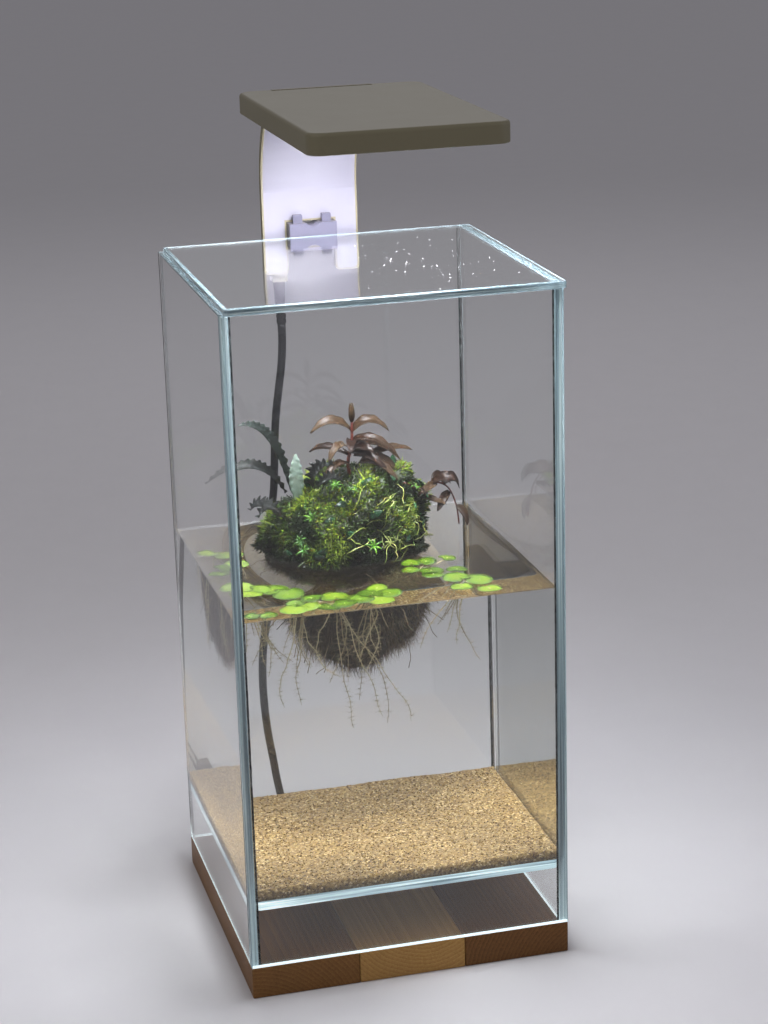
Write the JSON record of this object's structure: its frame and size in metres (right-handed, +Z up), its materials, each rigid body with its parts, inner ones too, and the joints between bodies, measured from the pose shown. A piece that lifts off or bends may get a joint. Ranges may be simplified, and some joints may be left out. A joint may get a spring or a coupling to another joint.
{
  "type": "aquarium on stand",
  "caption": "Tall square rimless glass aquarium on a laminated wood plinth, with a loose glass lid, a floating moss island, floating plants and a hook-on slab lamp.",
  "frame": {"origin": "middle of the plinth's underside, on the surface it stands on", "axes": "+Z up, +Y to the back where the lamp hooks on, +X to the right seen from the front"},
  "size_m": [0.2017, 0.3105, 0.5218],
  "materials": {
    "wood_brown": "oiled, satin",
    "wood_pale": "oiled, satin",
    "wood_dark": "oiled, satin",
    "glass_clear": "polished low-iron float glass, pale blue-green edges",
    "silicone": "clear silicone, satin",
    "sand": "coarse golden sand grains",
    "water": "still clear water",
    "cork": "rough cork float",
    "moss": "wet moss tufts",
    "roots": "matted roots and brown moss",
    "red_leaves": "thin leaf, satin",
    "dark_leaves": "ruffled leaf, satin",
    "sprig": "thin leaf, satin",
    "frogbit": "smooth floating leaf",
    "lamp_beige": "fine matte champagne coat",
    "lamp_grey": "satin",
    "diffuser": "frosted acrylic, lit",
    "board": "white-coated board",
    "led": "LED chips",
    "bracket_white": "satin white",
    "clip_clear": "clear moulded plastic",
    "steel": "brushed",
    "cord_black": "matte black flex",
    "adapter_black": "fine-textured black",
    "pin_metal": "nickel plated"
  },
  "bodies": {
    "tank": {"plinth_stave_left": "wood_brown", "plinth_stave_middle": "wood_pale", "plinth_stave_right": "wood_dark", "glass_front": "glass_clear", "glass_back": "glass_clear", "glass_left": "glass_clear", "glass_right": "glass_clear", "glass_floor": "glass_clear", "seal_front_left": "silicone", "seal_front_right": "silicone", "seal_back_left": "silicone", "seal_back_right": "silicone", "floor_seal": "silicone", "sand_bed": "sand", "water": "water", "frogbit_1": "frogbit", "frogbit_2": "frogbit", "frogbit_3": "frogbit", "frogbit_4": "frogbit", "frogbit_5": "frogbit", "frogbit_6": "frogbit", "frogbit_7": "frogbit", "frogbit_8": "frogbit", "frogbit_9": "frogbit", "frogbit_10": "frogbit", "lamp_cord": "cord_black", "cord_coil": "cord_black", "cord_tail": "cord_black", "adapter_boot": "adapter_black", "adapter_body": "adapter_black", "adapter_pins": "pin_metal"},
    "lid": {"glass_lid": "glass_clear"},
    "island": {"island_core": "cork", "island_moss": "moss", "island_roots": "roots", "red_stem_plant": "red_leaves", "ruffled_leaves": "dark_leaves", "right_sprig": "sprig"},
    "lamp": {"lamp_cover": "lamp_beige", "lamp_bezel": "lamp_grey", "lamp_diffuser": "diffuser", "led_board": "board", "led_chips": "led", "head_screws": "steel", "bracket_shell": "lamp_beige", "bracket_face": "bracket_white", "inner_lead": "cord_black", "arm_screws": "steel", "wall_clip": "clip_clear", "clip_screws": "steel", "cord_gland": "lamp_beige", "cord_boot": "cord_black"}
  },
  "joints": [
    {"name": "lid_lift", "type": "slide", "parent": "tank", "child": "lid", "axis": [0, 0, 1], "range_m": [0, 0.05]},
    {"name": "lamp_lift", "type": "slide", "parent": "tank", "child": "lamp", "axis": [0, 0, 1], "range_m": [0, 0.03]},
    {"name": "island_turn", "type": "hinge", "parent": "tank", "child": "island", "pos_m": [-0.004, 0.036, 0.238], "axis": [0, 0, 1], "range_deg": [-25, 25]}
  ]
}
